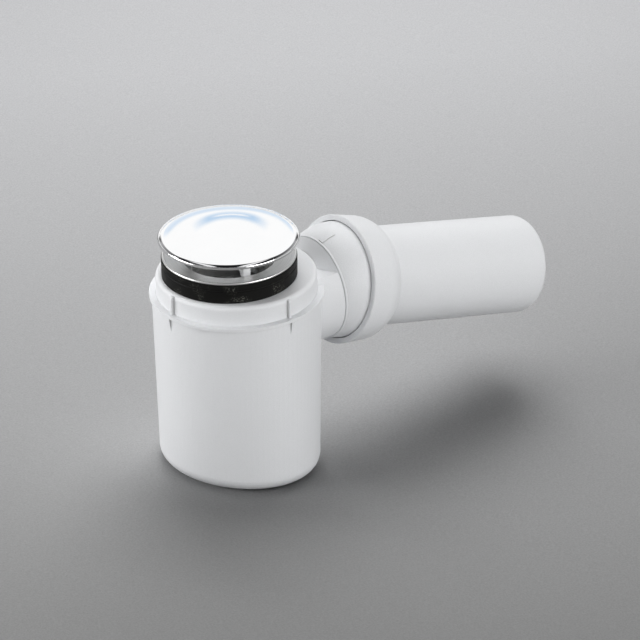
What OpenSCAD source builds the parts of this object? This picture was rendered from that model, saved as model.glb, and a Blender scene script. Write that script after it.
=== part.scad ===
// Shower tray waste: a white bottle trap for a 52 mm tray hole, with a chromed
// dome cap, a lift-out immersion tube and an outlet that swivels on a ball.
// Origin: middle of the cup's flat floor. +Z up the trap, +X towards the outlet.

/* [Cup] */
// Outside radius of the cup at its ring
cup_r_top = 41.6; // [39:0.1:44]
// How much the cup's radius tapers in from its ring to its foot
cup_taper = 1.4; // [0.5:0.1:3]
// Height of the ring's top face above the middle of the floor
cup_h = 95.5; // [90:0.5:105]
// Wall of the cup
cup_wall = 2.4; // [2:0.1:3]
// Thickness of the cup's floor
floor_t = 2.6; // [2:0.1:4]
// Fall of the floor towards the outlet, in degrees
floor_slope = 7; // [0:0.5:9]
// Radius round the cup's bottom edge
edge_r = 8; // [5:0.5:10]
// How far the ring stands out past the cup
ring_out = 1.3; // [0.8:0.1:3]
// Thickness of the ring
ring_t = 1.5; // [1:0.1:3]
// Depth of the rebate that takes the top shell
rebate_h = 5.5; // [4:0.5:8]

/* [Top shell] */
// Step from the cup's wall in to the top shell
shell_step = 2.1; // [1.6:0.1:3]
// Height of the top shell's shoulder above the ring
shell_h = 10.1; // [8:0.1:14]
// Wall of the top shell
shell_wall = 2.2; // [1.8:0.1:3]
// Radius round the edge of the shoulder
shoulder_r = 2.2; // [1:0.1:4]
// How far the inlet sits from the cup's axis, away from the outlet
inlet_offset = 4; // [0:0.5:6]
// Wall of the threaded boss under the shoulder
boss_wall = 2.6; // [2:0.1:4]
// Length of the threaded boss below the shoulder
boss_h = 17; // [12:0.5:20]
// Thickness of the stiffening fins
fin_t = 1.3; // [1:0.1:2.5]
// How far the fins stand out of the shell
fin_out = 1.6; // [1:0.1:3.2]
// Radius round the top of a fin
fin_round = 1.2; // [0.5:0.1:2]
// Height from the top of a fin up to the shoulder
fin_drop = 0.8; // [0.5:0.1:3]
// Turn of the fins and gussets round the cup, in degrees
fin_angle = 4; // [0:0.5:10]
// Height of the gussets under the ring
gusset_h = 8; // [3:0.5:12]
// Thickness of the gussets
gusset_t = 0.8; // [0.6:0.1:2]

/* [Outlet neck] */
// Drop of the outlet's axis below the top of the ring
outlet_drop = 13.8; // [12:0.1:16]
// Outside radius of the neck's lower half
neck_r = 25.7; // [24.5:0.1:27]
// Wall of the neck
neck_wall = 3.3; // [2.5:0.1:4]
// How far the neck reaches past the cup's ring end
neck_out = 5.5; // [4:0.1:8]
// Height of the neck's flat ledge above the ring
ledge_h = 2.4; // [1:0.1:4]
// Radius of the flared hood where it meets the ball's collar
hood_r = 25.8; // [25:0.1:26.4]
// How fast the hood flares, in mm of radius for each mm of length
hood_flare = 0.97; // [0.8:0.01:1.1]
// Wall of the hood
hood_wall = 2.6; // [2:0.1:3]
// Length of the ball's spigot inside the neck
spigot_h = 1.5; // [1:0.1:2]
// Wall left round that spigot at its narrowest
spigot_wall = 1.6; // [1.2:0.1:2.5]

/* [Seals and flange] */
// Outside radius of both rubber seals
seal_r = 33.2; // [31:0.1:36]
// Height of the lower seal
lower_seal_h = 6.4; // [4:0.1:9]
// Height of the upper seal at its rim
upper_seal_h = 3.2; // [2:0.1:5]
// Outside radius of the dished flange
flange_r = 32.9; // [30:0.1:35]
// Radius of the water hole in the flange
hole_r = 22.9; // [22.5:0.1:23.5]
// Sheet thickness of the flange
flange_t = 0.8; // [0.6:0.1:1.2]
// How far the flange is dished towards its hole
dish_h = 1.6; // [1:0.1:2.5]
// Depth of the collar drawn down from the hole
collar_h = 5; // [3:0.5:6]
// Radius of the flange's rolled rim
bead_r = 0.7; // [0.5:0.1:0.9]

/* [Clamping sleeve] */
// Outside radius of the sleeve, which passes the 52 mm tray hole
sleeve_r = 25.4; // [25:0.1:25.8]
// Bore radius of the sleeve
sleeve_bore_r = 22.2; // [21.8:0.1:22.4]
// Length of the sleeve below the flange's collar
sleeve_h = 23; // [20:0.5:25]
// Width of the ledge inside the sleeve's foot
sleeve_ledge = 2.7; // [2:0.1:3]
// Thickness of that ledge
sleeve_ledge_t = 2; // [1.5:0.1:3]

/* [Immersion tube] */
// Outside radius of the immersion tube
tube_r = 19; // [17:0.1:19.2]
// Wall of the immersion tube
tube_wall = 1.6; // [1.2:0.1:2]
// Length of the tube below its head
tube_h = 71; // [60:0.5:76]
// Height of the tube's head
head_h = 10; // [8:0.5:14]
// Thickness of the O-ring under the head
ring_d = 1.9; // [1.4:0.1:2.4]
// Thickness of the hair strainer
strainer_t = 1.5; // [1:0.1:3]
// Number of slots in the hair strainer
slots = 8; // [6:1:10]
// Height of the strainer's grip
grip_h = 9; // [5:0.5:14]

/* [Dome cap] */
// Radius of the cap
cap_r = 34.8; // [33:0.1:38]
// Radius of the cap's rolled rim
cap_bead = 0.65; // [0.55:0.05:1]
// Rise of the dome above its rim
dome_h = 3.2; // [2.5:0.1:7]
// Thickness of the cap's metal
cap_t = 0.9; // [0.7:0.1:1]
// Open height between flange and cap
cap_gap = 8.5; // [5:0.1:12]
// Distance from the cap's edge in to the edge of the carrier disc
carrier_in = 9; // [7:0.5:12]
// Thickness of the carrier disc under the cap
carrier_t = 1.3; // [1:0.1:1.6]
// Radius of the carrier's central boss
carrier_boss_r = 8; // [5:0.5:12]
// Number of legs on the carrier
legs = 3; // [3:1:4]
// Direction of the first leg, in degrees
leg_angle = -102; // [-180:1:180]
// Width of a leg
leg_w = 3.6; // [2:0.1:4]
// Depth of a leg's tongue, measured towards the middle
leg_d = 2; // [1.5:0.1:2.5]
// Length of the tongue inside the immersion tube's head
tongue_h = 2.6; // [2:0.1:4]
// Reach of the web inside each leg
web_in = 9; // [4:0.5:11]

/* [Ball joint and outlet pipe] */
// Distance from the end of the neck to the centre of the ball
ball_out = 13.9; // [13:0.1:15]
// Radius of the ball
ball_r = 29.1; // [28.5:0.1:29.5]
// Radius of the water way through the ball
ball_bore_r = 19; // [17:0.1:19.5]
// Outside radius of the collar between neck and ball
ball_collar_r = 26.4; // [26:0.1:27]
// Width of that collar
ball_collar_w = 1.3; // [1:0.1:2]
// Wall of the ball
ball_wall = 2.4; // [2:0.1:3]
// Width of the rib on top of the ball
rib_w = 3; // [2:0.1:4]
// How far the rib stands out of the ball
rib_out = 0.4; // [0.3:0.1:0.5]
// Distance from the ball's centre to the end of the rib
rib_end = 5; // [5:0.1:8]
// Turn of the rib from the top of the ball, in degrees
rib_angle = 8; // [0:1:20]
// Downward swing of the pipe as it stands, in degrees
droop = 13.3; // [0:0.1:14]
// Angle from the neck's axis to the ball's open edge, in degrees
ball_angle = 44; // [42:1:46]
// Thickness of the liner ring behind the ball
liner_t = 1; // [0.8:0.1:1.4]
// Angle from the neck's axis to the liner's inner edge, in degrees
liner_angle_in = 51; // [50:1:54]
// Angle from the neck's axis to the liner's outer edge, in degrees
liner_angle_out = 61; // [57:1:61]
// Thickness of the lip seal, measured outwards
lip_t = 1.4; // [1.2:0.1:1.6]
// Length of the lip seal
lip_h = 3.6; // [3:0.1:4]
// Distance from the ball's centre back to the mouth of the bell
mouth = 1.7; // [1.5:0.1:2.5]
// Depth of the lip seal inside the mouth
lip_depth = 4.6; // [4:0.1:4.8]
// Gap between the ball and the land inside the bell's mouth
mouth_gap = 0.5; // [0.5:0.1:0.8]
// Wall of the bell at its mouth
bell_wall = 2.15; // [2:0.05:3]
// Length of the bell's tapered wall, from its mouth
bell_h = 10.8; // [9:0.1:12]
// How much the bell's radius tapers in over that wall
bell_taper = 1; // [0.5:0.1:1.3]
// Radius of the bell's shoulder
bell_round = 14; // [12:0.5:16]
// Radius in the corner where the bell meets the pipe
bell_fillet = 1; // [0.5:0.1:2]
// Chamfer round the bell's mouth
mouth_chamfer = 0.4; // [0.2:0.1:1]
// Outside radius of the outlet pipe
pipe_r = 25; // [24.5:0.1:25.4]
// Wall of the outlet pipe
pipe_wall = 1.8; // [1.5:0.1:2.4]
// Distance from the ball's centre to the end of the pipe
pipe_h = 117.4; // [80:0.1:200]
// Length of the chamfer on the pipe's end
chamfer = 1.5; // [0.5:0.1:3]

/* [Fits] */
// Gap between pieces that are glued or pushed together
fit_gap = 0.1; // [0.05:0.05:0.2]
// Radial gap of the pieces that slide on the ball
ball_gap = 0.05; // [0.03:0.01:0.08]
// Gap between the immersion tube and the sleeve
slide_gap = 0.15; // [0.1:0.05:0.3]
// Gap between the seals and the sleeve
seal_gap = 0.8; // [0.5:0.1:1.5]

/* [Hidden] */
$fn = 96;
eps = 0.01;
white = "whitesmoke";

// Sizes that follow the cup's ring
cup_r_bottom = cup_r_top - cup_taper;
shell_r = cup_r_top - shell_step;
neck_end = cup_r_top + neck_out;
ball_x = neck_end + ball_out;

// Heights, from the floor up
outlet_z = cup_h - outlet_drop;
split_z = cup_h + ledge_h;
roof_z = split_z - neck_wall;
seat_z = cup_h - rebate_h;
shoulder_z = cup_h + shell_h;
lower_top_z = shoulder_z + lower_seal_h;
upper_top_z = lower_top_z + upper_seal_h;
flange_z = upper_top_z + flange_t;
hole_z = flange_z - dish_h;
collar_z = hole_z - collar_h;
sleeve_z = collar_z - sleeve_h;
ledge_z = sleeve_z + sleeve_ledge_t;
head_z = ledge_z + ring_d + fit_gap;
head_top_z = head_z + head_h;
rim_z = flange_z + cap_gap;

// Cup
cup_in_edge = edge_r - cup_wall;
ring_r = cup_r_top + ring_out;
rebate_r = shell_r + fit_gap;

// Inlet
tube_in_r = tube_r - tube_wall;
head_r = sleeve_bore_r - slide_gap;
head_wall = 1.5;
head_in_r = head_r - head_wall;
head_floor = 1.8;
boss_in_r = sleeve_r + fit_gap;
seal_in_r = sleeve_r + seal_gap;
dish_out = flange_r - 2 * bead_r;
dish_fall = dish_h / (dish_out - hole_r);
tongue_r = head_in_r - fit_gap;
leg_z = head_top_z + fit_gap;
strainer_r = head_in_r - slide_gap;
strainer_z = head_z + head_floor;

// Cap
dome_edge = cap_r - cap_bead;
dome_base = rim_z + cap_bead + cap_t / 2;
dome_r = (dome_edge * dome_edge + dome_h * dome_h) / (2 * dome_h);
carrier_r = cap_r - carrier_in;

// Neck
neck_bore_r = neck_r - neck_wall;
neck_in = sqrt(cup_r_bottom * cup_r_bottom - neck_r * neck_r) - cup_wall / 2;
spigot_r = hood_at(neck_end - spigot_h) - spigot_wall - fit_gap;
hood_from = shell_r + 1;
hood_across = hood_wall * sqrt(1 + hood_flare * hood_flare);

// Ball joint
ball_in_r = ball_r - ball_wall;
lip_start = lip_depth - mouth;
cavity_r = ball_r + ball_gap + liner_t + ball_gap;
lip_out_r = ball_r + lip_t;
bell_r = cavity_r + bell_wall;
pipe_in_r = pipe_r - pipe_wall;
shoulder_mid = bell_r - bell_taper - bell_round;
shoulder_angle = acos((pipe_r + bell_fillet - shoulder_mid) / (bell_round + bell_fillet));

function hood_at(x) = hood_r - hood_flare * (neck_end - x);
function dome_at(r) = dome_base + dome_h - dome_r + sqrt(dome_r * dome_r - r * r);

// A ring with rounded corners, standing on z = 0
module soft_ring(r_in, r_out, h, round) {
    rotate_extrude()
        polygon([[r_in, 0], [r_out - round, 0], [r_out, round],
                 [r_out, h - round], [r_out - round, h], [r_in, h]]);
}

// Everything that stands on the inlet's own axis
module at_inlet(z) {
    translate([-inlet_offset, 0, z]) children();
}

// Turns a shape made along +Z so that it points out of the neck
module along_neck() {
    translate([ball_x, 0, outlet_z]) rotate([0, 90, 0]) children();
}

// The same for the pipe's own drooping axis
module along_pipe() {
    translate([ball_x, 0, outlet_z]) rotate([0, 90 + droop, 0]) children();
}

// A tapered cup with a rounded foot on a sloping floor
module sloping_cup(r, round, lift, top_r, top_z) {
    rim = lift + round;
    hull() {
        rotate([0, floor_slope, 0])
            translate([-rim * tan(floor_slope), 0, rim])
                rotate_extrude($fn = 90)
                    translate([r - round, 0])
                        intersection() {
                            circle(round, $fn = 32);
                            translate([0, -round]) square(round);
                        }
        translate([0, 0, top_z - eps]) cylinder(r = top_r, h = eps, $fn = 90);
    }
}

// Water way from the cup to the ball: a bore under the ledge, and the hood above it
module neck_way() {
    along_neck() {
        intersection() {
            translate([0, 0, neck_in - ball_x])
                cylinder(r = neck_bore_r, h = neck_end - spigot_h - neck_in + eps);
            translate([outlet_z - roof_z, -neck_r, neck_in - ball_x - 1]) cube(2 * neck_r);
        }
        translate([0, 0, hood_from - ball_x])
            cylinder(r1 = hood_at(hood_from) - hood_across,
                     r2 = hood_at(neck_end - spigot_h + eps) - hood_across,
                     h = neck_end - spigot_h + eps - hood_from);
        translate([0, 0, neck_end - spigot_h - ball_x]) cylinder(r = spigot_r + fit_gap, h = 2 * spigot_h);
    }
}

// Fins or gussets at the three places away from the outlet
module three_around() {
    for (a = [90, 180, 270]) rotate([0, 0, a + fin_angle]) children();
}

module cup_outside() {
    sloping_cup(cup_r_bottom, edge_r, 0, cup_r_top, cup_h - ring_t / 2);
    translate([0, 0, cup_h - ring_t]) cylinder(r = ring_r, h = ring_t);
    three_around()
        translate([0, gusset_t / 2, cup_h - ring_t])
            rotate([90, 0, 0])
                linear_extrude(gusset_t)
                    polygon([[cup_r_top - 1, ring_t / 2], [ring_r, ring_t / 2],
                             [cup_r_top - 0.3, -gusset_h], [cup_r_top - 1, -gusset_h]]);
    intersection() {
        along_neck()
            translate([0, 0, neck_in - ball_x]) cylinder(r = neck_r, h = neck_end - neck_in);
        translate([0, -neck_r, outlet_z - neck_r])
            cube([2 * ball_x, 2 * neck_r, split_z - outlet_z + neck_r]);
    }
}

module cup_inside() {
    sloping_cup(cup_r_bottom - cup_wall, cup_in_edge, floor_t, cup_r_top - cup_wall, seat_z + 1);
    translate([0, 0, seat_z]) cylinder(r = rebate_r, h = cup_h);
}

module trap_cup() {
    color(white)
        difference() {
            cup_outside();
            cup_inside();
            neck_way();
        }
}

module top_shell() {
    wall_h = shoulder_z - seat_z;
    fin_h = shell_h - fit_gap - fin_drop;
    color(white)
        difference() {
            union() {
                difference() {
                    translate([0, 0, seat_z])
                        rotate_extrude()
                            polygon(concat([[0, 0], [shell_r, 0]],
                                [for (a = [0:15:90]) [shell_r - shoulder_r * (1 - cos(a)),
                                                      wall_h - shoulder_r * (1 - sin(a))]],
                                [[0, wall_h]]));
                    translate([0, 0, seat_z - eps])
                        cylinder(r = shell_r - shell_wall, h = wall_h - shell_wall + eps);
                }
                at_inlet(shoulder_z - boss_h)
                    cylinder(r = boss_in_r + boss_wall, h = boss_h - eps);
                intersection() {
                    along_neck()
                        translate([0, 0, shell_r - 1 - ball_x])
                            cylinder(r1 = hood_at(shell_r - 1), r2 = hood_r, h = neck_end - shell_r + 1);
                    translate([0, -neck_r, split_z + fit_gap]) cube(2 * neck_r);
                }
                three_around()
                    translate([0, fin_t / 2, cup_h + fit_gap])
                        rotate([90, 0, 0])
                            linear_extrude(fin_t)
                                polygon(concat([[shell_r - 1, 0], [shell_r + fin_out, 0]],
                                    [for (a = [0:30:90]) [shell_r + fin_out - fin_round * (1 - cos(a)),
                                                          fin_h - fin_round * (1 - sin(a))]],
                                    [[shell_r - 1, fin_h]]));
            }
            at_inlet(shoulder_z - boss_h - eps) cylinder(r = boss_in_r, h = boss_h + 1);
            neck_way();
        }
}

module lower_seal() {
    color("#151515")
        at_inlet(shoulder_z) soft_ring(seal_in_r, seal_r, lower_seal_h, 0.4);
}

// The upper seal's top follows the dish of the flange
module upper_seal() {
    color("#1c1c1c")
        at_inlet(lower_top_z)
            rotate_extrude()
                polygon([[seal_in_r, 0], [seal_r - 0.3, 0], [seal_r, 0.3], [seal_r, upper_seal_h],
                         [dish_out, upper_seal_h], [dish_out, upper_seal_h - fit_gap],
                         [seal_in_r, upper_seal_h - fit_gap - dish_fall * (dish_out - seal_in_r)]]);
}

// Dished sheet with a rolled rim and a collar drawn down round the hole
module flange_plate() {
    color("silver")
        at_inlet(0) {
            rotate_extrude()
                polygon([[hole_r, collar_z], [hole_r + flange_t, collar_z],
                         [hole_r + flange_t, hole_z - flange_t + dish_fall * flange_t],
                         [dish_out, flange_z - flange_t], [dish_out + bead_r, flange_z - flange_t],
                         [dish_out + bead_r, flange_z], [dish_out, flange_z], [hole_r, hole_z]]);
            rotate_extrude()
                translate([flange_r - bead_r, flange_z - flange_t + bead_r]) circle(bead_r);
        }
}

module clamp_sleeve() {
    color("#3c3e40")
        at_inlet(0)
            rotate_extrude()
                polygon([[sleeve_bore_r - sleeve_ledge, sleeve_z], [sleeve_r, sleeve_z],
                         [sleeve_r, hole_z - flange_t - fit_gap],
                         [hole_r + flange_t + fit_gap, hole_z - flange_t - fit_gap],
                         [hole_r + flange_t + fit_gap, collar_z - fit_gap],
                         [sleeve_bore_r, collar_z - fit_gap],
                         [sleeve_bore_r, ledge_z], [sleeve_bore_r - sleeve_ledge, ledge_z]]);
}

// Tube with a wider head, which hangs in the sleeve on its O-ring
module immersion_tube() {
    color("#46484a")
        at_inlet(0)
            rotate_extrude()
                polygon([[tube_in_r, head_z - tube_h], [tube_r, head_z - tube_h], [tube_r, head_z],
                         [head_r, head_z], [head_r, head_top_z], [head_in_r, head_top_z],
                         [head_in_r, head_z + head_floor], [tube_in_r, head_z + head_floor]]);
}

module tube_o_ring() {
    color("#101010")
        at_inlet(ledge_z + ring_d / 2 + fit_gap / 2)
            rotate_extrude()
                translate([head_r - ring_d / 2 - slide_gap, 0]) circle(ring_d / 2, $fn = 24);
}

// Slotted disc with a grip, which drops into the tube's head
module hair_strainer() {
    slot_in = 5;
    slot_w = 3;
    grip_r = 3;
    grip_tip_r = 1.6;
    color("#46484a")
        at_inlet(strainer_z) {
            difference() {
                cylinder(r = strainer_r, h = strainer_t);
                for (i = [0:slots - 1])
                    rotate([0, 0, i * 360 / slots])
                        translate([slot_in, -slot_w / 2, -1])
                            cube([strainer_r - slot_in - 2.4, slot_w, strainer_t + 2]);
            }
            translate([0, 0, strainer_t - eps]) cylinder(r1 = grip_r, r2 = grip_tip_r, h = grip_h);
        }
}

// Disc under the cap, on legs that stand on the immersion tube's head
module cap_carrier() {
    leg_h = rim_z - leg_z;
    color(white)
        at_inlet(0) {
            translate([0, 0, rim_z]) cylinder(r = carrier_r, h = carrier_t);
            translate([0, 0, rim_z])
                cylinder(r = carrier_boss_r, h = dome_at(carrier_boss_r) - cap_t - fit_gap - rim_z);
            for (i = [0:legs - 1])
                rotate([0, 0, leg_angle + i * 360 / legs]) {
                    translate([tongue_r - leg_d, -leg_w / 2, leg_z])
                        cube([leg_d + head_wall, leg_w, leg_h + eps]);
                    translate([tongue_r - leg_d, -leg_w / 2, leg_z - tongue_h])
                        cube([leg_d, leg_w, tongue_h + eps]);
                    translate([tongue_r - leg_d + eps, -leg_w / 2, rim_z + eps])
                        rotate([90, 0, 0])
                            translate([0, 0, -1.2])
                                linear_extrude(1.2)
                                    polygon([[0, 0], [0, -leg_h / 2], [-web_in, 0]]);
                }
        }
}

// Pressed sheet with its edge rolled to a bead
module dome_cap() {
    color("lightgray")
        at_inlet(0) {
            difference() {
                intersection() {
                    translate([0, 0, dome_base + dome_h - dome_r]) sphere(dome_r, $fn = 180);
                    translate([0, 0, dome_base - cap_t]) cylinder(r = dome_edge, h = 2 * dome_h);
                }
                intersection() {
                    translate([0, 0, dome_base + dome_h - dome_r]) sphere(dome_r - cap_t, $fn = 180);
                    translate([0, 0, rim_z - 1]) cylinder(r = dome_edge - cap_bead / 2, h = 2 * dome_h);
                }
            }
            translate([0, 0, rim_z + cap_bead])
                rotate_extrude()
                    translate([dome_edge, 0]) circle(cap_bead, $fn = 24);
        }
}

// Hollow ball moulded with its collar, glued into the end of the neck
module outlet_ball() {
    collar_at = neck_end - ball_x + fit_gap;
    collar_to = collar_at + ball_collar_w;
    ball_end = ball_r * cos(ball_angle);
    color(white)
        along_neck()
            difference() {
                union() {
                    intersection() {
                        sphere(ball_r);
                        translate([0, 0, collar_at + ball_collar_w / 2])
                            cylinder(r = ball_r + 1, h = ball_end - collar_at - ball_collar_w / 2);
                    }
                    translate([0, 0, collar_at]) soft_ring(0, ball_collar_r, ball_collar_w, 0.3);
                    translate([0, 0, collar_at - spigot_h + fit_gap])
                        cylinder(r = spigot_r, h = spigot_h);
                    intersection() {
                        sphere(ball_r + rib_out);
                        rotate([0, 0, 180 + rib_angle])
                            translate([ball_collar_r - ball_wall, -rib_w / 2, collar_to - eps])
                                cube([ball_r, rib_w, -rib_end - collar_to + eps]);
                    }
                }
                intersection() {
                    sphere(ball_in_r);
                    translate([0, 0, collar_at + ball_wall]) cylinder(r = ball_r, h = 2 * ball_r);
                }
                translate([0, 0, collar_at - spigot_h - 1])
                    cylinder(r = spigot_r - ball_wall, h = spigot_h + ball_wall + 2);
                cylinder(r = ball_bore_r, h = 2 * ball_r);
            }
}

// Part of a sphere between two angles from the pipe's axis
module liner_zone(r, from, to) {
    intersection() {
        sphere(r);
        difference() {
            cylinder(r1 = 0, r2 = 2 * r * tan(to), h = 2 * r);
            cylinder(r1 = 0, r2 = 2 * r * tan(from), h = 2 * r);
        }
    }
}

module ball_liner() {
    color("gainsboro")
        along_neck()
            difference() {
                liner_zone(cavity_r - ball_gap, liner_angle_in, liner_angle_out);
                sphere(ball_r + ball_gap);
            }
}

module lip_seal() {
    color("#141414")
        along_pipe()
            difference() {
                translate([0, 0, lip_start]) cylinder(r = lip_out_r, h = lip_h);
                sphere(ball_r + ball_gap);
            }
}

// Bell and pipe moulded in one, with a chamfered spigot end
module outlet_pipe() {
    shoulder_from = bell_h - mouth;
    fillet_from = shoulder_from + (bell_round + bell_fillet) * sin(shoulder_angle);
    color(white)
        along_pipe()
            difference() {
                rotate_extrude()
                    polygon(concat(
                        [[0, -mouth], [bell_r - mouth_chamfer, -mouth], [bell_r, mouth_chamfer - mouth]],
                        [for (i = [0:6]) [shoulder_mid + bell_round * cos(i * shoulder_angle / 6),
                                          shoulder_from + bell_round * sin(i * shoulder_angle / 6)]],
                        [for (i = [2:-1:0]) [pipe_r + bell_fillet * (1 - cos(i * shoulder_angle / 3)),
                                             fillet_from - bell_fillet * sin(i * shoulder_angle / 3)]],
                        [[pipe_r, pipe_h - chamfer], [pipe_r - chamfer / 2, pipe_h], [0, pipe_h]]));
                sphere(ball_r + mouth_gap);
                intersection() {
                    sphere(cavity_r);
                    translate([0, 0, lip_start]) cylinder(r = cavity_r + 1, h = cavity_r + 1);
                }
                translate([0, 0, lip_start - ball_gap])
                    cylinder(r = lip_out_r + ball_gap, h = lip_h + 2 * ball_gap);
                cylinder(r = pipe_in_r, h = pipe_h + 1);
            }
}

trap_cup();
top_shell();
lower_seal();
upper_seal();
flange_plate();
clamp_sleeve();
immersion_tube();
tube_o_ring();
hair_strainer();
cap_carrier();
dome_cap();
outlet_ball();
ball_liner();
lip_seal();
outlet_pipe();
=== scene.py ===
# The look of a shower waste with a bottle trap: a chromed cap over a dished steel
# flange, black seals, a white moulded trap, and a white outlet pipe on a ball.
# It is put together here from the cup up to the cap, then out along the pipe.

import math

import bpy
from mathutils import Matrix, Vector

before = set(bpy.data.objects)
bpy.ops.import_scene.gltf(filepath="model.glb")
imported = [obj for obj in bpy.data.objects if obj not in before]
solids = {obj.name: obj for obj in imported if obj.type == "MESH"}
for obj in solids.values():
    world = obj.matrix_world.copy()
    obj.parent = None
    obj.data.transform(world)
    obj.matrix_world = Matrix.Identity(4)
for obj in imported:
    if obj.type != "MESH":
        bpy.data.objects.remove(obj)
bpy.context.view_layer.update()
MM = 0.001


# --- Camera
# A long lens looks down on the trap from behind its left shoulder, so that the
# outlet points away to the right, as the photograph has it.
LENS_MM = 225.0
SENSOR_MM = 36.0
SIGHT_ENDS = 20
CAMERA_AWAY = 2.0
LOOK_DOWN = math.radians(27.875)
TURN = math.radians(36.178)
ROLL = math.radians(0.682)
SLIDE_ACROSS = -39.76 * MM
SLIDE_UP = -69.15 * MM

away = Vector((math.sin(TURN), math.cos(TURN), 0))
across = Vector((math.cos(TURN), -math.sin(TURN), 0))
sight = away * math.cos(LOOK_DOWN) - Vector((0, 0, math.sin(LOOK_DOWN)))
above = across.cross(sight)
right = across * math.cos(ROLL) - above * math.sin(ROLL)
up = across * math.sin(ROLL) + above * math.cos(ROLL)
camera_data = bpy.data.cameras.new("camera")
camera_data.lens = LENS_MM
camera_data.sensor_width = SENSOR_MM
camera_data.clip_end = SIGHT_ENDS
camera = bpy.data.objects.new("camera", camera_data)
bpy.context.scene.collection.objects.link(camera)
camera.matrix_world = Matrix(
    [[right[i], up[i], -sight[i], 0] for i in range(3)] + [[0, 0, 0, 1]]
)
camera.location = -(right * SLIDE_ACROSS + up * SLIDE_UP + sight * CAMERA_AWAY)
bpy.context.scene.camera = camera


# --- Cup and top shell
# The trap's cup and its top shell are injection mouldings in white polypropylene,
# with a fine grain from the tool. Their colour carries painted shade, darker in
# creases and hollows where nearby surfaces crowd in.
class Value:
    """A number or colour on its way through a shader's nodes."""

    def __init__(self, shading, socket):
        self.shading = shading
        self.socket = socket

    def maths(self, operation, *terms):
        values = dict(enumerate(terms))
        return self.shading.node("Math", {"operation": operation}, values)

    def __add__(self, other):
        return self.maths("ADD", self, other)

    def __radd__(self, other):
        return self.maths("ADD", other, self)

    def __sub__(self, other):
        return self.maths("SUBTRACT", self, other)

    def __rsub__(self, other):
        return self.maths("SUBTRACT", other, self)

    def __mul__(self, other):
        return self.maths("MULTIPLY", self, other)

    def __rmul__(self, other):
        return self.maths("MULTIPLY", other, self)

    def __pow__(self, other):
        return self.maths("POWER", self, other)

    def __rpow__(self, other):
        return self.maths("POWER", other, self)

    def __abs__(self):
        return self.maths("ABSOLUTE", self)

    def at_least(self, other):
        return self.maths("MAXIMUM", self, other)


class Shading:
    """Nodes that work out how a surface or the surroundings vary."""

    def __init__(self, tree):
        self.tree = tree

    def feed(self, node, values):
        for name, value in values.items():
            if isinstance(value, Value):
                self.tree.links.new(value.socket, node.inputs[name])
            else:
                node.inputs[name].default_value = value

    def node(self, kind, settings=None, values=None, out=0):
        made = self.tree.nodes.new("ShaderNode" + kind)
        for key, value in (settings or {}).items():
            setattr(made, key, value)
        self.feed(made, values or {})
        return Value(self, made.outputs[out])

    def vector(self, operation, *terms, out=0):
        values = dict(enumerate(terms))
        return self.node("VectorMath", {"operation": operation}, values, out)

    def mix(self, factor, first, second):
        values = {0: factor, 6: first, 7: second}
        return self.node("Mix", {"data_type": "RGBA"}, values, out=2)

    def over(self, value, low, high):
        """Nothing up to low, whole from high on."""
        return self.node("MapRange", None, {0: value, 1: low, 2: high, 3: 0.0, 4: 1.0})

    def under(self, value, low, high):
        """Whole up to low, nothing from high on."""
        return 1 - self.over(value, low, high)


class Finish(Shading):
    """The material of a piece, in the piece's own coordinates and in metres."""

    def __init__(self, name, **shader):
        self.material = bpy.data.materials.new(name)
        self.material.use_nodes = True
        super().__init__(self.material.node_tree)
        self.shader = self.tree.nodes["Principled BSDF"]
        self.wear(**shader)

    def wear(self, **shader):
        self.feed(self.shader, {k.replace("_", " "): v for k, v in shader.items()})

    def place(self):
        return self.node("TexCoord", out="Object")

    def noise(self, to_the_metre, detail=2, roughness=0.5):
        values = {"Vector": self.place(), "Scale": to_the_metre,
                  "Detail": detail, "Roughness": roughness}
        return self.node("TexNoise", None, values)

    def bump(self, height, depth):
        values = {"Height": height, "Distance": depth, "Strength": 1.0}
        return self.node("Bump", None, values)

    def put_on(self, *names):
        for name in names:
            slots = solids[name].data.materials
            slots.clear()
            slots.append(self.material)


WHITE = (0.80, 0.81, 0.825)
DULLER, BRIGHTER = 0.93, 1.02
CLOUDS = 28
GRAIN_DEPTH = 0.12 * MM
PAINTED_SHADE_GREY = (0.40, 0.40, 0.39, 1)
PAINTED_SHADE_REACH = 3.5 * MM


def moulded_white(name, shade, grain):
    finish = Finish(name, IOR=1.46, Specular_IOR_Level=0.42)
    cloud = finish.noise(CLOUDS, detail=3)
    fine = finish.noise(grain, roughness=0.6)
    duller = [c * DULLER for c in shade] + [1]
    brighter = [c * BRIGHTER for c in shade] + [1]
    speckled = cloud * 0.4 + finish.over(fine, 0.32, 0.68) * 0.6
    # Painted shade: an occlusion test greys the colour in creases, corners and
    # hollows.
    open_to_light = finish.node("AmbientOcclusion", {"samples": 8, "only_local": True},
                        {"Distance": PAINTED_SHADE_REACH}, out="AO")
    painted_crease_shade = finish.under(open_to_light, 0.3, 0.85)
    tint = finish.mix(speckled, duller, brighter)
    finish.wear(
        Base_Color=finish.mix(painted_crease_shade, tint, PAINTED_SHADE_GREY),
        Roughness=0.34 + cloud * 0.1 + fine * 0.06,
        Normal=finish.bump(fine, GRAIN_DEPTH),
    )
    return finish


moulded_white("white moulding", WHITE, grain=2600).put_on("trap_cup", "top_shell")


# --- Seals
# Two black rubber rings, one on the other, squeeze the tray between them. They
# are moulded, and their sides are dull with light scuffs. The lip seal of the
# outlet and the tube's O-ring are of the same kind.
SEAL_BLACK, LIP_BLACK = 0.005, 0.006
SCUFFED = (0.20, 0.20, 0.175, 1)
SCUFFS, SCUFFED_PLACES = 1500, 70
SCUFF_DEPTH = 0.08 * MM


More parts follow.
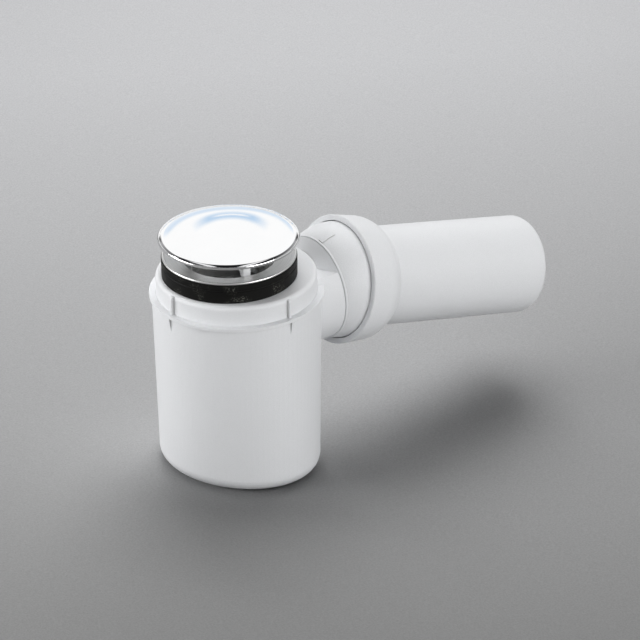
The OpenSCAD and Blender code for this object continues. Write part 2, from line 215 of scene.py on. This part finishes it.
def rubber(name, dark):
    finish = Finish(name, IOR=1.5, Specular_IOR_Level=0.14)
    scuffs = finish.over(finish.noise(SCUFFS, detail=3, roughness=0.7), 0.54, 0.66)
    worn = scuffs * finish.over(finish.noise(SCUFFED_PLACES), 0.5, 0.64)
    finish.wear(
        Base_Color=finish.mix(worn, (dark, dark, dark * 0.9, 1), SCUFFED),
        Roughness=0.55 + worn * 0.2,
        Normal=finish.bump(finish.noise(SCUFFS, detail=3), SCUFF_DEPTH),
    )
    return finish


rubber("seal rubber", SEAL_BLACK).put_on("lower_seal", "upper_seal")
rubber("lip seal rubber", LIP_BLACK).put_on("lip_seal", "tube_o_ring")


# --- Flange
# Stainless sheet, spun to a shallow dish with a rolled rim, and brushed in
# circles as it turned.
INLET = (-4 * MM, 0, 0)
BRUSH_LINES = 5000
BRUSH_DEPTH = 0.03 * MM
DULL_STEEL, BRIGHT_STEEL = (0.70, 0.70, 0.69, 1), (0.90, 0.90, 0.89, 1)


def from_inlet(finish):
    place = finish.vector("SUBTRACT", finish.place(), INLET)
    flat = finish.vector("MULTIPLY", place, (1, 1, 0))
    return finish.vector("LENGTH", flat, out="Value")


steel = Finish("brushed steel", Metallic=0.85)
rings = steel.node("TexNoise", {"noise_dimensions": "1D"},
                   {"W": from_inlet(steel) * BRUSH_LINES, "Scale": 1.0, "Detail": 3.0})
steel.wear(
    Base_Color=steel.mix(rings, DULL_STEEL, BRIGHT_STEEL),
    Roughness=0.22 + rings * 0.16,
    Normal=steel.bump(rings, BRUSH_DEPTH),
)
steel.put_on("flange_plate")


# --- Sleeve and immersion tube
# Grey mouldings inside the inlet: the sleeve that clamps the tray, and the tube
# that lifts out with its strainer.
DARK_GREY, PALE_GREY = (0.36, 0.362, 0.355, 1), (0.44, 0.442, 0.435, 1)
GREY_CLOUDS, GREY_GRAIN = 60, 2200
GREY_DEPTH = 0.06 * MM

grey = Finish("grey moulding", IOR=1.46, Specular_IOR_Level=0.4)
speckle = grey.noise(GREY_CLOUDS, detail=3)
grey.wear(
    Base_Color=grey.mix(speckle, DARK_GREY, PALE_GREY),
    Roughness=0.38 + speckle * 0.14,
    Normal=grey.bump(grey.noise(GREY_GRAIN), GREY_DEPTH),
)
grey.put_on("clamp_sleeve", "immersion_tube", "hair_strainer")


# --- Cap
# The carrier is a white moulding on three legs. The dome is pressed brass with
# bright chrome plate, and its edge turns down over the rolled rim.
CARRIER_WHITE = (0.78, 0.79, 0.80)
EDGE_FROM, EDGE_ROUND = 31.6 * MM, 3.4 * MM
HAZE = 90
HAZY, CLEAR = (0.95, 0.955, 0.96, 1), (0.985, 0.985, 0.985, 1)

moulded_white("carrier moulding", CARRIER_WHITE, grain=2400).put_on("cap_carrier")
chrome = Finish("chrome plate", Metallic=1.0)
haze = chrome.noise(HAZE, detail=4)
past_edge = (from_inlet(chrome) - EDGE_FROM).at_least(0.0)
turned_down = past_edge * past_edge * (-0.5 / EDGE_ROUND)
chrome.wear(
    Base_Color=chrome.mix(haze, HAZY, CLEAR),
    Roughness=0.04 + haze * 0.03,
    Normal=chrome.bump(turned_down, 1.0),
)
chrome.put_on("dome_cap")


# --- Outlet
# The hollow ball is glued to the neck. The bell snaps over it, with its pipe in
# one moulding, and slides on a liner ring and a lip seal.
BALL_WHITE = (0.77, 0.78, 0.795)

ball_white = moulded_white("ball moulding", BALL_WHITE, grain=2500)
ball_white.put_on("outlet_ball", "ball_liner")
moulded_white("pipe moulding", WHITE, grain=2300).put_on("outlet_pipe")


# --- Table
# A sheet of grey paper. It falls under the cup, whose sloping floor lies flat on it,
# bends, and rises a little under the pipe's end. Its colour darkens towards the
# camera, as painted shade for the light falling off from the boxes behind.
FALL = math.tan(math.radians(7))
RISE = math.tan(math.radians(3))
SHEET = 3.0
CLEARANCE = 0.1 * MM
BEND_FROM, BEND_TO = 33 * MM, 93 * MM
FOLDS = 16
NEAR_END, FAR_END, FALLOFF_POWER = -0.2, 0.47, 1.25
FIBRES = 1100
FIBRE_DEPTH = 0.05 * MM
SHADED_NEAR_PAPER = (0.44, 0.441, 0.441, 1), (0.54, 0.541, 0.541, 1)
LIT_FAR_PAPER = (0.68, 0.684, 0.70, 1), (0.80, 0.804, 0.82, 1)


def sheet_height(x):
    """A slope that falls, a parabola, and a slope that rises."""
    bent = min(max(x, BEND_FROM), BEND_TO) - BEND_FROM
    flat = FALL * min(x, BEND_TO) - RISE * max(x - BEND_TO, 0)
    return (FALL + RISE) * bent ** 2 / 2 / (BEND_TO - BEND_FROM) - flat


bend = [BEND_FROM + (BEND_TO - BEND_FROM) * i / FOLDS for i in range(FOLDS + 1)]
folds = [-SHEET] + bend + [SHEET]
corners = [(x, y, sheet_height(x) - CLEARANCE) for x in folds for y in (-SHEET, SHEET)]
strips = [(2 * i, 2 * i + 2, 2 * i + 3, 2 * i + 1) for i in range(len(folds) - 1)]
sheet_mesh = bpy.data.meshes.new("table")
sheet_mesh.from_pydata(corners, [], strips)
sheet_mesh.polygons.foreach_set("use_smooth", [True] * len(strips))
table = bpy.data.objects.new("table", sheet_mesh)
bpy.context.scene.collection.objects.link(table)
paper = Finish("table paper", Roughness=0.8, Specular_IOR_Level=0.1)
depth = paper.vector("DOT_PRODUCT", paper.place(), away, out="Value")
# Painted shade: the paper is darker near the camera and lighter far off, for the fall
# of the light from behind.
painted_falloff = paper.over(depth, NEAR_END, FAR_END) ** FALLOFF_POWER
fibre = paper.over(paper.noise(FIBRES, roughness=0.7), 0.3, 0.7)
shaded_near, lit_far = paper.mix(fibre, *SHADED_NEAR_PAPER), paper.mix(fibre, *LIT_FAR_PAPER)
paper.wear(
    Base_Color=paper.mix(painted_falloff, shaded_near, lit_far),
    Normal=paper.bump(fibre, FIBRE_DEPTH),
)
table.data.materials.append(paper.material)


# --- Mirrored room
# What the chrome and the gloss of the plastic mirror: a white screen behind, with
# two pale blue reflections low on it, between dark curtains and grey walls. Two
# strips of light run along the dark ceiling.
FILL = (0.02, 0.02, 0.02, 1)
SCREEN_WHITE, SCREEN_BLUE = (1, 1, 1, 1), (0.46, 0.64, 0.85, 1)
CURTAIN, WALL = (0.012, 0.012, 0.013, 1), (0.42, 0.42, 0.43, 1)
STRIP_LIGHT = (0.85, 0.85, 0.86, 1)
OFF_CENTRE = 0.018

# A pair of numbers is the stretch over which a thing fades, in parts of the unit
# vector that points from the piece to what it mirrors.
EDGE_AT, EDGE_BOW, EDGE_TINT = 0.145, 9.5, 0.6
EDGE_BAND, EDGE_TOP = (0.012, 0.04), (0.36, 0.44)
ARC_AT, ARC_BOW, ARC_TINT = 0.258, 16, 0.9
ARC_BAND, ARC_REACH = (0.02, 0.07), (0.05, 0.095)
GLINT_DROP, GLINT_BAND, GLINT_REACH = 0.008, (0.005, 0.014), (0.025, 0.045)
SCREEN_BACK, SCREEN_SIDE = (0.52, 0.62), (0.36, 0.46)
WALL_BACK, WALL_TOP = (0.78, 0.86), (0.3, 0.8)
STRIP_INNER, STRIP_OUTER, STRIP_LOW = (0.17, 0.21), (0.34, 0.40), (0.80, 0.86)

world = bpy.data.worlds.new("studio")
world.use_nodes = True
bpy.context.scene.world = world
studio = Shading(world.node_tree)
in_mirror = studio.node("LightPath", out="Is Glossy Ray")
compass = studio.node("TexCoord", out="Generated")
height = studio.node("SeparateXYZ", None, {0: compass}, out="Z")
aside = abs(studio.vector("DOT_PRODUCT", compass, across, out="Value") + OFF_CENTRE)
behind = studio.vector("DOT_PRODUCT", compass, away, out="Value")
bow = aside * aside
edge = studio.under(abs(height - bow * EDGE_BOW - EDGE_AT), *EDGE_BAND)
edge = edge * studio.under(height, *EDGE_TOP)
arc = height - bow * ARC_BOW - ARC_AT
crescent = studio.under(abs(arc), *ARC_BAND) * studio.under(aside, *ARC_REACH)
glint = studio.under(abs(arc + GLINT_DROP), *GLINT_BAND)
glint = glint * studio.under(aside, *GLINT_REACH)
blue = edge * EDGE_TINT + crescent * ARC_TINT * (1 - glint)
screen = studio.mix(blue, SCREEN_WHITE, SCREEN_BLUE)
lit = studio.over(behind, *SCREEN_BACK) * studio.under(aside, *SCREEN_SIDE)
around = studio.under(behind, *WALL_BACK) * studio.under(height, *WALL_TOP)
room = studio.mix(lit, studio.mix(around, CURTAIN, WALL), screen)
bars = studio.over(aside, *STRIP_INNER) * studio.under(aside, *STRIP_OUTER)
mirrored = studio.mix(bars * studio.over(height, *STRIP_LOW), room, STRIP_LIGHT)
studio.feed(world.node_tree.nodes["Background"],
            {"Color": studio.mix(in_mirror, FILL, mirrored), "Strength": 1.0})


# --- Lamps
# Soft boxes hang behind and above, and cards stand at the sides, where the gloss
# of the plastic shows them. Flags keep the light of some lamps off the table.
MIDDLE = Vector((0.04, 0, 0.06))
part_only = bpy.data.collections.new("lit by the flagged lamps")
for solid in solids.values():
    part_only.objects.link(solid)


def lamp(name, back, side, lift, size, watts, glossy=False, flagged=False):
    """A rectangle of light that faces the middle, its place given from there."""
    data = bpy.data.lights.new(name, "AREA")
    data.shape = "RECTANGLE"
    data.size, data.size_y = size
    data.energy = watts
    made = bpy.data.objects.new(name, data)
    bpy.context.scene.collection.objects.link(made)
    from_middle = away * back + across * side + Vector((0, 0, lift))
    made.location = MIDDLE + from_middle
    made.visible_camera = False
    made.visible_glossy = glossy
    if flagged:
        made.light_linking.receiver_collection = part_only
    made.rotation_mode = "QUATERNION"
    made.rotation_quaternion = (-from_middle).to_track_quat("-Z", "Y")


lamp("soft box", 0.4, 0.05, 0.9, (0.6, 0.6), 3.8)
lamp("back box", 0.9, 0, 0.75, (0.8, 0.6), 4.3)
lamp("high box", 0.3, -0.5, 0.8, (0.5, 0.5), 0.8)
lamp("left card", -0.22, -0.65, 0.2, (0.4, 0.25), 1.2, glossy=True)
lamp("second left card", 0, -0.65, 0.38, (0.4, 0.35), 2.7, glossy=True, flagged=True)
lamp("front box", -0.6, -0.3, 0.14, (0.4, 0.25), 0.9, flagged=True)
lamp("right card", -0.45, 0.6, 0.38, (0.6, 0.25), 3.1, glossy=True, flagged=True)
lamp("low card", -0.55, 0.55, 0.12, (0.6, 0.2), 1.3, glossy=True, flagged=True)
lamp("far right card", 0, 1.1, 0.3, (1.0, 0.5), 0.9, glossy=True, flagged=True)

bpy.context.scene.view_settings.view_transform = "Standard"
